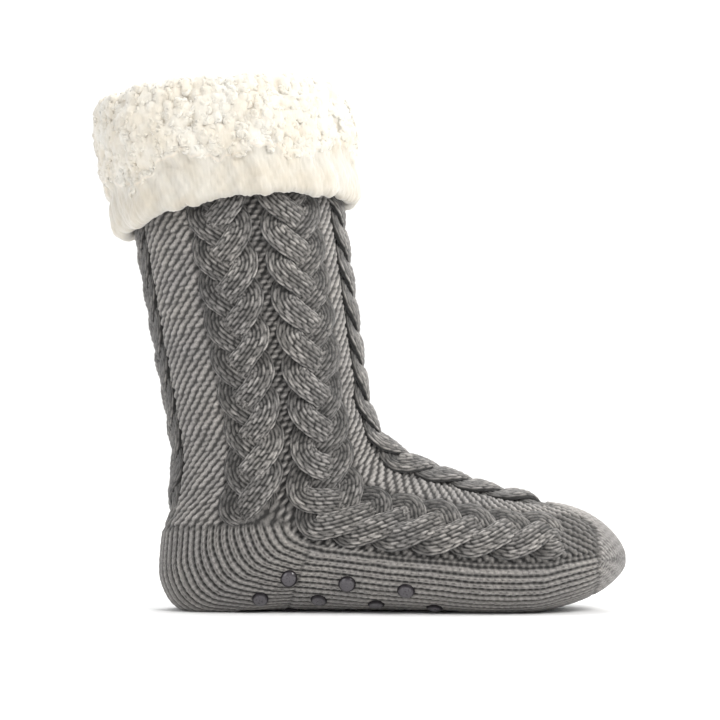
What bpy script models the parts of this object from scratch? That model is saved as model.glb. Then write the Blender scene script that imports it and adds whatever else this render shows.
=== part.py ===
"""Slipper sock: knitted whole with raised plaits, a turned-out fleece cuff and a sole with grip dots.

Metres, +Z up, +X towards the toe. The sock stands on its sole at z = 0, with the origin under the
middle of its outline. A place on the knit is given by turn, the share of the way round from the front
middle (0) over the side (0.25) to the back or sole middle (0.5), and by way, from the collar (0) to the
tip of the toe (1).
"""

import math
from collections import namedtuple

import bmesh
import bpy
import numpy as np
from mathutils import Vector

# Foot
FOOT_LENGTH = 0.240
BALL_WIDTH = 0.086
HEEL_WIDTH = 0.072
INSTEP_HEIGHT = 0.084
HEEL_HEIGHT = 0.076

# Leg. The ankle's place is the share of the foot's length at which its middle lies.
SOCK_HEIGHT = 0.265
ANKLE_HEIGHT = 0.107
ANKLE_PLACE = 0.231
LEG_DEPTH = 0.102
LEG_WIDTH = 0.086
LEG_LEAN = math.radians(9.0)

# Knit
WALL = 0.003
BRAID_PITCH = 0.018
BRAID_RISE = 0.0042
STRAND_WIDTH = 0.0096
STRAND_LIFT = 0.0010
POCKET_HEIGHT = 0.043

# Cuff
CUFF_HEIGHT = 0.066
CUFF_LOFT = 0.0155
CUFF_TOP = 0.0065
CUFF_LINING = 0.0062
CUFF_TURN_IN = 0.027
NUB_RISE = 0.0013

# Grip dots
DOT_DIAMETER = 0.0086
DOT_HEIGHT = 0.0012
DOT_SIDES = 10
DOT_CROWN = 0.86
DOT_ROUND = 0.45
DOT_SHARP = math.radians(40.0)

# Fits
GAP = 0.0003

# Sections of the leg from the collar down: height above the ankle in shares of the way to the collar,
# then depth, width and tilt in shares of the leg's own.
LegSection = namedtuple("LegSection", "height depth width tilt")
LEG_SECTIONS = (
    LegSection(height=1.00, depth=0.990, width=0.990, tilt=0.35),
    LegSection(height=0.82, depth=1.000, width=1.000, tilt=0.80),
    LegSection(height=0.62, depth=1.000, width=1.000, tilt=0.92),
    LegSection(height=0.38, depth=0.992, width=0.985, tilt=0.90),
    LegSection(height=0.17, depth=0.976, width=0.955, tilt=0.92),
    LegSection(height=0.00, depth=0.965, width=0.915, tilt=1.15),
)

# Sections of the foot from the ankle to the toe. x is in shares of the foot's length, the front height
# in shares of the instep's, the back height in shares of the heel's and the width in shares of the
# ball's. widest is how far from the front the section is widest, and square its fullness below.
FootSection = namedtuple("FootSection", "front_x front_z back_x back_z width widest square")
FOOT_SECTIONS = (
    FootSection(0.449, 1.180, 0.041, 1.000, 0.925, 0.48, 2.10),
    FootSection(0.464, 1.085, 0.029, 0.730, 0.900, 0.49, 2.15),
    FootSection(0.480, 1.032, 0.008, 0.500, 0.880, 0.50, 2.20),
    FootSection(0.497, 0.990, 0.003, 0.265, 0.860, 0.52, 2.30),
    FootSection(0.515, 0.955, 0.030, 0.050, 0.850, 0.54, 2.45),
    FootSection(0.534, 0.925, 0.088, -0.036, 0.850, 0.57, 2.50),
    FootSection(0.556, 0.893, 0.165, -0.036, 0.862, 0.60, 2.55),
    FootSection(0.584, 0.857, 0.250, -0.014, 0.885, 0.62, 2.25),
    FootSection(0.620, 0.815, 0.342, -0.008, 0.915, 0.63, 2.20),
    FootSection(0.660, 0.772, 0.437, -0.008, 0.950, 0.64, 2.20),
    FootSection(0.702, 0.730, 0.533, -0.012, 0.985, 0.64, 2.20),
    FootSection(0.744, 0.696, 0.625, -0.024, 1.000, 0.64, 2.30),
    FootSection(0.786, 0.673, 0.710, -0.032, 0.996, 0.63, 2.40),
    FootSection(0.827, 0.657, 0.786, -0.020, 0.975, 0.63, 2.40),
    FootSection(0.868, 0.638, 0.850, 0.020, 0.925, 0.60, 2.35),
    FootSection(0.907, 0.602, 0.902, 0.068, 0.835, 0.57, 2.25),
    FootSection(0.943, 0.543, 0.944, 0.132, 0.700, 0.54, 2.15),
    FootSection(0.973, 0.464, 0.975, 0.208, 0.515, 0.52, 2.05),
    FootSection(0.992, 0.381, 0.993, 0.276, 0.285, 0.50, 2.00),
    FootSection(1.000, 0.310, 1.000, 0.342, 0.000, 0.50, 2.00),
)
LEG_WIDEST = 0.47
LEG_SQUARE = 2.10
FRONT_SQUARE = 2.10

# Shares of the foot's length between which its width changes from the heel's to the ball's
HEEL_WIDTH_END, BALL_WIDTH_START = 0.15, 0.50

# Steps in which the surface is measured: along a quarter of a section, round a ring, and either side
# of a point to find its normal or below the collar to find its upward way
ARC_STEPS = 90
RING_STEPS = 64
WAY_STEP = 0.002
EDGE_STEP = 0.01
TURN_STEP = 0.004
LAST_WAY = 0.9995

# Where the sole carries the sock: heel and forefoot lie on the floor, and the arch between them is
# lifted by its grip dots. In shares of the foot's length.
HEEL_FLAT_END = 0.165
ARCH_START = 0.190
ARCH_END = 0.625
BALL_FLAT_START = 0.655

# Plaits: the middle and half of the width as turns, and where each ends, as a height above the floor
# for those that run down to the heel, or as a share of the foot's length for those that run to the toe.
Plait = namedtuple("Plait", "middle half_width ends_at measured")
PLAITS = (
    Plait(middle=0.000, half_width=0.0600, ends_at=0.835, measured="length"),
    Plait(middle=0.158, half_width=0.0585, ends_at=0.865, measured="length"),
    Plait(middle=0.285, half_width=0.0520, ends_at=1.000, measured="pocket"),
    Plait(middle=0.500, half_width=0.0600, ends_at=1.080, measured="pocket"),
)
PLAIT_END = 0.008
STRANDS = 3

# Columns of the knit's mesh round one half, as turns, denser across the plaits.
COLUMN_SPANS = (
    (0.000, 0.060, 4),
    (0.060, 0.0995, 1),
    (0.0995, 0.2165, 8),
    (0.2165, 0.2330, 1),
    (0.2330, 0.3370, 7),
    (0.3370, 0.4400, 2),
    (0.4400, 0.5000, 3),
)

# The mesh: spacing of its rows at the side, along the heel and sole, and under the cuff, and where its
# last rings lie before the outer and the inner tip.
ROW_SIDE = 0.0051
ROW_SOLE = 0.0088
ROW_HIDDEN = 0.016
TIP_WAY = 0.985
INNER_TIP_WAY = 0.955
INNER_TIP_WALL = 1.3
LINE_WAYS = np.linspace(0.0, 1.0, 801)

# Cuff's profile, from its lower edge up the outside, over the top and down the inside. down is the
# way below the collar in shares of the cuff's height (outside) or of its turn-in (inside), and out is
# the distance from the knit in shares of the cuff's loft or of its lining's thickness. The crown over
# the collar is a half round, read at the places named as shares of its reach. Under the cuff's edge the
# plaits sink away within the fade, most of it above the edge and the rest below.
ProfilePoint = namedtuple("ProfilePoint", "down out nubby")
CUFF_OUTSIDE = (
    ProfilePoint(down=0.985, out=0.58, nubby=0.0),
    ProfilePoint(down=0.920, out=0.80, nubby=0.2),
    ProfilePoint(down=0.800, out=0.84, nubby=0.2),
    ProfilePoint(down=0.680, out=0.74, nubby=0.3),
    ProfilePoint(down=0.600, out=0.90, nubby=1.0),
    ProfilePoint(down=0.440, out=1.00, nubby=1.0),
    ProfilePoint(down=0.250, out=1.00, nubby=1.0),
    ProfilePoint(down=0.080, out=0.88, nubby=1.0),
)
CUFF_INSIDE = (
    ProfilePoint(down=0.05, out=0.75, nubby=0.5),
    ProfilePoint(down=0.45, out=1.00, nubby=0.5),
    ProfilePoint(down=0.90, out=0.90, nubby=0.3),
)
CROWN_PLACES = (0.62, 0.0, -0.62)
CROWN_REACH = 0.45
NUB_SEED = 11
CUFF_SIDE_RISE = 0.0060
CUFF_FADE = 0.012
FADE_ABOVE, FADE_BELOW = 0.6, 0.2

# Grip dots: a row for each column of dots, as its turn and the places along the foot in shares of it.
DotColumn = namedtuple("DotColumn", "turn places")
DOTS_ODD = (0.225, 0.345, 0.465, 0.585)
DOTS_EVEN = (0.285, 0.405, 0.525)
DOT_COLUMNS = (
    DotColumn(turn=0.308, places=DOTS_EVEN),
    DotColumn(turn=0.372, places=DOTS_ODD),
    DotColumn(turn=0.440, places=DOTS_EVEN),
    DotColumn(turn=0.500, places=DOTS_ODD),
    DotColumn(turn=0.560, places=DOTS_EVEN),
    DotColumn(turn=0.628, places=DOTS_ODD),
    DotColumn(turn=0.692, places=DOTS_EVEN),
)

# Finishes: colour, roughness
GREY_KNIT = ((0.245, 0.232, 0.215), 0.95)
CREAM_FLEECE = ((0.84, 0.80, 0.72), 0.98)
GRIP_SILICONE = ((0.105, 0.085, 0.105), 0.42)


def clear_scene():
    for old in list(bpy.data.objects):
        bpy.data.objects.remove(old, do_unlink=True)


def material(name, finish):
    colour, roughness = finish
    made = bpy.data.materials.new(name)
    made.use_nodes = True
    shader = made.node_tree.nodes["Principled BSDF"]
    shader.inputs["Base Color"].default_value = (*colour, 1.0)
    shader.inputs["Roughness"].default_value = roughness
    shader.inputs["Metallic"].default_value = 0.0
    made.diffuse_color = (*colour, 1.0)
    return made


def smooth(low, high, value):
    share = np.clip((value - low) / (high - low), 0.0, 1.0)
    return share * share * (3.0 - 2.0 * share)


def leg_rows():
    """Front and back ends, width, widest place and fullness of each of the leg's sections."""
    collar = SOCK_HEIGHT - CUFF_TOP
    rows = []
    for section in LEG_SECTIONS:
        height = ANKLE_HEIGHT + section.height * (collar - ANKLE_HEIGHT)
        middle = ANKLE_PLACE * FOOT_LENGTH - (height - ANKLE_HEIGHT) * math.tan(LEG_LEAN)
        tilt = section.tilt * LEG_LEAN
        half = 0.5 * section.depth * LEG_DEPTH
        across = half * math.cos(tilt)
        up = half * math.sin(tilt)
        width = section.width * LEG_WIDTH
        ends = (middle + across, height + up, middle - across, height - up)
        rows.append((*ends, width, LEG_WIDEST, LEG_SQUARE))
    return rows


def foot_rows():
    """The same values for each of the foot's sections."""
    rows = []
    for section in FOOT_SECTIONS:
        ball = smooth(HEEL_WIDTH_END, BALL_WIDTH_START, section.back_x)
        width = section.width * (ball * BALL_WIDTH + (1.0 - ball) * (HEEL_WIDTH + LEG_WIDTH) / 2.0)
        rows.append(
            (
                section.front_x * FOOT_LENGTH,
                section.front_z * INSTEP_HEIGHT,
                section.back_x * FOOT_LENGTH,
                section.back_z * HEEL_HEIGHT,
                width,
                section.widest,
                section.square,
            )
        )
    return rows


class Last:
    """The knit's surface without its plaits, as a function of turn and way."""

    def __init__(self):
        self.rows = np.array(leg_rows() + foot_rows())
        moved = np.diff(self.rows, axis=0)
        steps = 0.5 * (np.hypot(moved[:, 0], moved[:, 1]) + np.hypot(moved[:, 2], moved[:, 3]))
        self.knots = np.concatenate([[0.0], np.cumsum(steps)])
        self.length = self.knots[-1]
        self.knots /= self.length
        self.slopes = self.find_slopes()

    def find_slopes(self):
        """Slopes at the sections for a smooth curve that doesn't overshoot."""
        step = np.diff(self.knots)[:, None]
        secant = np.diff(self.rows, axis=0) / step
        slopes = np.zeros_like(self.rows)
        before, after = secant[:-1], secant[1:]
        same = before * after > 0.0
        mean = np.where(same, 2.0 * before * after / np.where(same, before + after, 1.0), 0.0)
        slopes[1:-1] = mean
        slopes[0], slopes[-1] = secant[0], secant[-1]
        return slopes

    def section(self, way):
        way = np.clip(way, 0.0, 1.0)
        i = np.clip(np.searchsorted(self.knots, way) - 1, 0, len(self.knots) - 2)
        step = self.knots[i + 1] - self.knots[i]
        t = ((way - self.knots[i]) / step)[:, None]
        step = step[:, None]
        h00 = (1.0 + 2.0 * t) * (1.0 - t) ** 2
        h10 = t * (1.0 - t) ** 2
        h01 = t * t * (3.0 - 2.0 * t)
        h11 = t * t * (t - 1.0)
        ends = h00 * self.rows[i] + h01 * self.rows[i + 1]
        return ends + step * (h10 * self.slopes[i] + h11 * self.slopes[i + 1])

    def place(self, turns, ways):
        """Points for every way and turn, as an array of ways by turns by 3."""
        turns = np.asarray(turns, float) % 1.0
        side = np.where(turns > 0.5, 1.0, -1.0)
        half_turn = np.where(turns > 0.5, 1.0 - turns, turns)
        front = half_turn <= 0.25
        rows = self.section(np.asarray(ways, float))
        points = np.zeros((len(rows), len(turns), 3))
        angles = np.linspace(0.0, math.pi / 2.0, ARC_STEPS)
        for k, (fx, fz, bx, bz, width, widest, square) in enumerate(rows):
            chord = math.hypot(fx - bx, fz - bz)
            full = 2.0 / FRONT_SQUARE
            in_front = (widest * (1.0 - np.cos(angles) ** full), np.sin(angles) ** full)
            full = 2.0 / square
            behind = (widest + (1.0 - widest) * np.sin(angles) ** full, np.cos(angles) ** full)
            share = np.zeros(len(turns))
            out = np.zeros(len(turns))
            for here, start, (shares, outs) in ((front, 0.0, in_front), (~front, 0.25, behind)):
                run = np.hypot(np.diff(shares) * chord, np.diff(outs) * width / 2.0)
                run = np.concatenate([[0.0], np.cumsum(run)])
                at = (half_turn[here] - start) / 0.25 * run[-1]
                share[here] = np.interp(at, run, shares)
                out[here] = np.interp(at, run, outs)
            points[k, :, 0] = fx + (bx - fx) * share
            points[k, :, 1] = side * out * width / 2.0
            points[k, :, 2] = fz + (bz - fz) * share
        return self.pressed(points)

    @staticmethod
    def pressed(points):
        """The sole pressed flat: on the floor at heel and ball, on the dots' height between them."""
        share = points[:, :, 0] / FOOT_LENGTH
        lift = smooth(HEEL_FLAT_END, ARCH_START, share) * (1.0 - smooth(ARCH_END, BALL_FLAT_START, share))
        floor = lift * (DOT_HEIGHT + GAP)
        points[:, :, 2] = np.maximum(points[:, :, 2], floor)
        return points

    def frame(self, turns, ways):
        """Points and outward normals."""
        turns, ways = np.asarray(turns, float), np.asarray(ways, float)
        points = self.place(turns, ways)
        ahead = np.minimum(ways + WAY_STEP, LAST_WAY)
        behind = np.maximum(ahead - 2.0 * WAY_STEP, 0.0)
        along = self.place(turns, ahead) - self.place(turns, behind)
        round_ = self.place(turns + TURN_STEP, ways) - self.place(turns - TURN_STEP, ways)
        normals = np.cross(round_, along)
        normals /= np.maximum(np.linalg.norm(normals, axis=2), 1e-12)[:, :, None]
        return points, normals

    def line(self, turn):
        """Points down the knit at one turn, and the length of the line to each."""
        points = self.place([turn], LINE_WAYS)[:, 0]
        run = np.linalg.norm(np.diff(points, axis=0), axis=1)
        return points, np.concatenate([[0.0], np.cumsum(run)])

    def girth(self):
        """Length round the knit at each of the line's ways."""
        ring = self.place(np.linspace(0.0, 1.0, RING_STEPS + 1), LINE_WAYS)
        return np.linalg.norm(np.diff(ring, axis=1), axis=2).sum(axis=1)

    def way_at(self, turn, axis, value, falling=False):
        """First way at which the line at a turn reaches a value."""
        points, _ = self.line(turn)
        reached = points[:, axis] <= value if falling else points[:, axis] >= value
        return LINE_WAYS[int(np.argmax(reached))]


def hem_ways(last, turns):
    """Way of the cuff's lower edge, which rises a little at the sides."""
    down = CUFF_HEIGHT - CUFF_TOP - CUFF_SIDE_RISE * np.sin(2.0 * math.pi * np.asarray(turns)) ** 2
    return down / last.length


def plait_height(across, along, half_width):
    """Height of three strands that cross over as they run inwards; across and along in metres."""
    strand = STRAND_WIDTH / 2.0
    sway = half_width - strand
    period = STRANDS * BRAID_PITCH
    height = np.zeros(np.broadcast(across, along).shape)
    for k in range(STRANDS):
        angle = 2.0 * math.pi * (along / period + k / STRANDS)
        slope = sway * np.cos(angle) * 2.0 * math.pi / period
        off = (across - sway * np.sin(angle)) / np.sqrt(1.0 + slope**2)
        lift = -STRAND_LIFT * np.sin(2.0 * angle)
        round_ = np.sqrt(np.clip(1.0 - (off / strand) ** 2, 0.0, 1.0))
        height = np.maximum(height, (lift + BRAID_RISE - STRAND_LIFT) * round_)
    return height


def relief(last, turns, ways):
    """Height of the plaits above the knit, as an array of ways by turns."""
    turns = np.asarray(turns, float) % 1.0
    signed = np.where(turns > 0.5, turns - 1.0, turns)
    girth = np.interp(ways, LINE_WAYS, last.girth())
    height = np.zeros((len(ways), len(turns)))
    for number, plait in enumerate(PLAITS):
        _, run = last.line(plait.middle)
        along = np.interp(ways, LINE_WAYS, run)
        if plait.measured == "length":
            end = last.way_at(plait.middle, 0, plait.ends_at * FOOT_LENGTH)
        else:
            end = last.way_at(plait.middle, 2, plait.ends_at * POCKET_HEIGHT, falling=True)
        stop = np.interp(end, LINE_WAYS, run)
        fade = 1.0 - smooth(stop - PLAIT_END, stop, along)
        half = plait.half_width * girth
        if plait.middle in (0.0, 0.5):
            share = (signed - plait.middle + 0.5) % 1.0 - 0.5
        else:
            share = (np.abs(signed) - plait.middle) * (1.0 if number % 2 else -1.0)
        across = share[None, :] * girth[:, None]
        near = np.abs(share) <= plait.half_width
        raised = plait_height(across, along[:, None], half[:, None]) * fade[:, None]
        height = np.where(near[None, :], np.maximum(height, raised), height)
    hem = hem_ways(last, turns)[None, :]
    fade = CUFF_FADE / last.length
    return height * smooth(hem - FADE_ABOVE * fade, hem + FADE_BELOW * fade, np.asarray(ways)[:, None])


def column_turns():
    """Turns of the mesh's columns, mirrored to the other side."""
    half = []
    for start, end, count in COLUMN_SPANS:
        half.extend(start + (end - start) * k / count for k in range(count))
    other = [1.0 - turn for turn in reversed(half[1:])]
    return np.array(half + [0.5] + other)


def row_ways(last):
    """Ways of the mesh's rows: a few under the cuff, then closer, by the longer of two spacings."""
    hidden_end = float(hem_ways(last, [0.25])[0]) - CUFF_FADE / last.length
    hidden = np.linspace(0.0, hidden_end, max(2, round(hidden_end * last.length / ROW_HIDDEN) + 1))
    _, side = last.line(PLAITS[1].middle)
    _, sole = last.line(0.5)
    cost = np.maximum(np.diff(side) / ROW_SIDE, np.diff(sole) / ROW_SOLE)
    cost = np.concatenate([[0.0], np.cumsum(cost)])
    start = np.interp(hidden_end, LINE_WAYS, cost)
    end = np.interp(TIP_WAY, LINE_WAYS, cost)
    count = round(end - start)
    shown = np.interp(np.linspace(start, end, count + 1)[1:], cost, LINE_WAYS)
    return np.concatenate([hidden, shown]), len(hidden)


def on_chords(ring):
    """A ring whose odd points lie midway between their neighbours, to match a ring of half as many."""
    ring = ring.copy()
    ring[1::2] = 0.5 * (ring[0::2] + np.roll(ring, -2, axis=0)[0::2])
    return ring


def mesh_object(name, points, faces, finish, collection):
    """An object from points and faces, its faces turned outwards."""
    shape = bmesh.new()
    corners = [shape.verts.new(tuple(point)) for point in points]
    for face in faces:
        shape.faces.new([corners[k] for k in face])
    bmesh.ops.recalc_face_normals(shape, faces=shape.faces)
    mesh = bpy.data.meshes.new(name)
    shape.to_mesh(mesh)
    shape.free()
    mesh.shade_smooth()
    mesh.materials.append(finish)
    made = bpy.data.objects.new(name, mesh)
    collection.objects.link(made)
    return made


def grid_faces(rows, columns, heights, first=0):
    """Triangles of a closed grid of rings, each square split along its higher pair of corners."""
    faces = []
    for i in range(rows - 1):
        for j in range(columns):
            k = (j + 1) % columns
            a, b = first + i * columns + j, first + i * columns + k
            c, d = first + (i + 1) * columns + k, first + (i + 1) * columns + j
            if heights[i, j] + heights[i + 1, k] >= heights[i, k] + heights[i + 1, j]:
                faces += [(a, b, c), (a, c, d)]
            else:
                faces += [(a, b, d), (b, c, d)]
    return faces


def make_knit(last, finish, collection):
    """The whole knit: outer wall with its plaits, collar edge, and inner wall, closed at the toe."""
    turns = column_turns()
    ways, hidden = row_ways(last)
    points, normals = last.frame(turns, ways)
    heights = relief(last, turns, ways)
    outer = points + normals * heights[:, :, None]
    turn_in = CUFF_TURN_IN / last.length
    inner_ways = [way for way in ways[hidden::3] if way < INNER_TIP_WAY]
    inner_ways = np.array([0.0, turn_in, *inner_ways])
    inner, inner_normals = last.frame(turns[::2], inner_ways)
    inner = inner - inner_normals * WALL
    tip = last.place([0.0], [1.0])[0]
    inner_tip = tip - np.array([[INNER_TIP_WALL * WALL, 0.0, 0.0]])
    rows, columns = len(ways), len(turns)
    inner_rows, inner_columns = len(inner_ways), len(turns) // 2
    first = rows * columns
    faces = grid_faces(rows, columns, heights)
    faces += grid_faces(inner_rows, inner_columns, np.zeros((inner_rows, inner_columns)), first)
    tips = first + inner_rows * inner_columns
    for j in range(columns):
        last_ring = (rows - 1) * columns
        faces.append((last_ring + j, last_ring + (j + 1) % columns, tips))
    for j in range(inner_columns):
        here, after = first + j, first + (j + 1) % inner_columns
        last_ring = (inner_rows - 1) * inner_columns
        faces.append((here + last_ring, after + last_ring, tips + 1))
        middle, end = 2 * j + 1, (2 * j + 2) % columns
        faces += [(2 * j, middle, here), (middle, after, here), (middle, end, after)]
    everything = np.concatenate([outer.reshape(-1, 3), inner.reshape(-1, 3), tip, inner_tip])
    return mesh_object("knit_upper", everything, faces, finish, collection)


def make_cuff(last, finish, collection):
    """The fleece, hooked over the collar: a closed profile carried round the leg."""
    turns = column_turns()
    ways, hidden = row_ways(last)
    chance = np.random.default_rng(NUB_SEED)
    hem = hem_ways(last, turns)
    edge, out = last.frame(turns, [0.0])
    edge, out = edge[0], out[0]
    up = edge - last.place(turns, [EDGE_STEP])[0]
    up /= np.linalg.norm(up, axis=1)[:, None]

    def offset(down_ways, distance):
        points = np.zeros((len(turns), 3))
        for j, (turn, way) in enumerate(zip(turns, down_ways)):
            point, normal = last.frame([turn], [way])
            points[j] = point[0, 0] + normal[0, 0] * distance[j]
        return points

    rings = []
    for point in CUFF_OUTSIDE:
        nubs = point.nubby * NUB_RISE * chance.uniform(-1.0, 1.0, len(turns))
        rings.append(offset(point.down * hem, point.out * CUFF_LOFT + nubs))
    crown = 0.5 * (CUFF_LOFT - WALL - CUFF_LINING)
    for share in CROWN_PLACES:
        reach = crown + share * CROWN_REACH * (CUFF_LOFT + WALL + CUFF_LINING)
        nubs = NUB_RISE * chance.uniform(-1.0, 0.0, len(turns))
        rise = CUFF_TOP * math.sqrt(1.0 - share**2) + nubs
        rings.append(edge + out * reach + up * rise[:, None])
    for point in CUFF_INSIDE:
        nubs = point.nubby * NUB_RISE * chance.uniform(-1.0, 0.0, len(turns))
        distance = -(WALL + GAP + point.out * CUFF_LINING + nubs)
        rings.append(offset(np.full(len(turns), point.down * CUFF_TURN_IN / last.length), distance))
    against = np.full(len(turns), -(WALL + GAP))
    rings.append(on_chords(offset(np.full(len(turns), CUFF_TURN_IN / last.length), against)))
    rings.append(on_chords(edge - out * (WALL + GAP) + up * GAP))
    rings.append(edge + out * GAP + up * GAP)
    for way in ways[1:hidden]:
        rings.append(offset(np.full(len(turns), way), np.full(len(turns), GAP)))
    rings.append(offset(hem, np.full(len(turns), GAP + BRAID_RISE)))
    faces = []
    columns = len(turns)
    for i in range(len(rings)):
        below = (i + 1) % len(rings)
        for j in range(columns):
            k = (j + 1) % columns
            a, b = i * columns + j, i * columns + k
            c, d = below * columns + k, below * columns + j
            faces += [(a, b, c), (a, c, d)]
    return mesh_object("fleece_cuff", np.concatenate(rings), faces, finish, collection)


def dot_mesh(finish):
    """A low dome with a flat crown, on its base at z = 0."""
    shape = bmesh.new()
    bmesh.ops.create_cone(
        shape,
        cap_ends=True,
        segments=DOT_SIDES,
        radius1=DOT_DIAMETER / 2.0,
        radius2=DOT_CROWN * DOT_DIAMETER / 2.0,
        depth=DOT_HEIGHT,
    )
    rim = [edge for edge in shape.edges if all(vert.co.z > 0.0 for vert in edge.verts)]
    bmesh.ops.bevel(shape, geom=rim, offset=DOT_ROUND * DOT_HEIGHT, segments=1, affect="EDGES", profile=0.5)
    bmesh.ops.translate(shape, verts=shape.verts, vec=(0.0, 0.0, DOT_HEIGHT / 2.0))
    mesh = bpy.data.meshes.new("grip_dot")
    shape.to_mesh(mesh)
    shape.free()
    mesh.shade_smooth()
    mesh.set_sharp_from_angle(angle=DOT_SHARP)
    mesh.materials.append(finish)
    return mesh


def make_dots(last, finish, collection):
    """Every grip dot, seated on the knit along the knit's own normal."""
    mesh = dot_mesh(finish)
    dots = []
    for column in DOT_COLUMNS:
        for place in column.places:
            way = last.way_at(column.turn, 0, place * FOOT_LENGTH)
            point, normal = last.frame([column.turn], [way])
            out = Vector(normal[0, 0])
            dot = bpy.data.objects.new(f"grip_dot_{len(dots) + 1:02d}", mesh)
            dot.rotation_mode = "QUATERNION"
            dot.rotation_quaternion = out.to_track_quat("Z", "X")
            dot.location = Vector(point[0, 0]) + out * GAP
            collection.objects.link(dot)
            dots.append(dot)
    return dots


def main():
    clear_scene()
    collection = bpy.data.collections.new("slipper_sock")
    bpy.context.scene.collection.children.link(collection)
    last = Last()
    knit = make_knit(last, material("grey_knit", GREY_KNIT), collection)
    cuff = make_cuff(last, material("cream_fleece", CREAM_FLEECE), collection)
    dots = make_dots(last, material("grip_silicone", GRIP_SILICONE), collection)
    backs = [vert.co.x for piece in (knit, cuff) for vert in piece.data.vertices]
    stand = bpy.data.objects.new("sock_origin", None)
    stand.location = (-0.5 * (min(backs) + max(backs)), 0.0, 0.0)
    collection.objects.link(stand)
    for piece in (knit, cuff, *dots):
        piece.parent = stand


main()
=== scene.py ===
"""Looks of the slipper sock: stitches, plaits, fleece and grip dots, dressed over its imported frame.

Metres, +Z up, +X towards the toe. A place on the knit is given by turn, the share of the way round from
the front middle (0) over the near side (0.25) to the back or sole middle (0.5), and by way, from the
collar (0) to the tip of the toe (1).
"""

import math
from collections import namedtuple

import bpy
import numpy as np
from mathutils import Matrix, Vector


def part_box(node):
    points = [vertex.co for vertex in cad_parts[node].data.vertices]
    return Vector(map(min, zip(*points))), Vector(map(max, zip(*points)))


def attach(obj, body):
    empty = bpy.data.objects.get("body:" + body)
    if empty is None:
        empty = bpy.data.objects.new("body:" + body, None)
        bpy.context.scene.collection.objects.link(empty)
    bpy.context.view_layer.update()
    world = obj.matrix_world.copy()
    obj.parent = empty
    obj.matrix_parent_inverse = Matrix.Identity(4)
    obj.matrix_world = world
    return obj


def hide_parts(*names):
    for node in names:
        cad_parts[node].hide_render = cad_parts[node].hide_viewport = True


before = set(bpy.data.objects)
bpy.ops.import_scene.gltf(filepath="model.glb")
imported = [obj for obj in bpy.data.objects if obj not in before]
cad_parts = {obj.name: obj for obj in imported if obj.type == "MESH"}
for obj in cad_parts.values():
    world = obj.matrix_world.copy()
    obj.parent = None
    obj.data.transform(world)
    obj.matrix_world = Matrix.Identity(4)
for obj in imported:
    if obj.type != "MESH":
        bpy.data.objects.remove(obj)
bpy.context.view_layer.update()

# Foot and leg, as the frame was built
FOOT_LENGTH = 0.240
BALL_WIDTH = 0.086
HEEL_WIDTH = 0.072
INSTEP_HEIGHT = 0.084
HEEL_HEIGHT = 0.076
SOCK_HEIGHT = 0.265
ANKLE_HEIGHT = 0.107
ANKLE_PLACE = 0.231
LEG_DEPTH = 0.102
LEG_WIDTH = 0.086
LEG_LEAN = math.radians(9.0)
POCKET_HEIGHT = 0.043
WALL = 0.003

# Plaits
BRAID_PITCH = 0.018
STRANDS = 3
STRAND_HALF_WIDTH = 0.0064
STRAND_HALF_HEIGHT = 0.0024
STRAND_SEAT = 0.0004
STRAND_LIFT = 0.0014
STRAND_LEAD = 0.0007
STRAND_OUTER_DROP = 0.0012
STRAND_LEGS = 8
STRAND_STEP = 0.00108
STRAND_COURSE = 0.0048
STRAND_RELIEF = 0.0014
PLAIT_END = 0.014

# Cuff
CUFF_HEIGHT = 0.066
CUFF_LOFT = 0.0155
CUFF_TOP = 0.0065
CUFF_LINING = 0.0062
CUFF_TURN_IN = 0.027
CUFF_SIDE_RISE = 0.0060

# Grip dots
DOT_DIAMETER = 0.0086
DOT_HEIGHT = 0.0012
DOT_SIDE_RISE, DOT_DEPTH = 0.0007, 0.0010
GAP = 0.0003

# Knitting gauges: width of a wale and height of a course
LEG_WALE, LEG_COURSE = 0.0047, 0.0027
POCKET_WALE, POCKET_COURSE = 0.0034, 0.0034
SOLE_WALE, SOLE_COURSE = 0.0046, 0.0034
TOE_WALE, TOE_COURSE = 0.0042, 0.0032
PURL_TILT = 0.80

# Camera
CAMERA_DISTANCE = 0.95
CAMERA_HEIGHT = 0.078
AIM_HEIGHT = 0.128
VIEW_SPAN = 0.372

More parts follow.
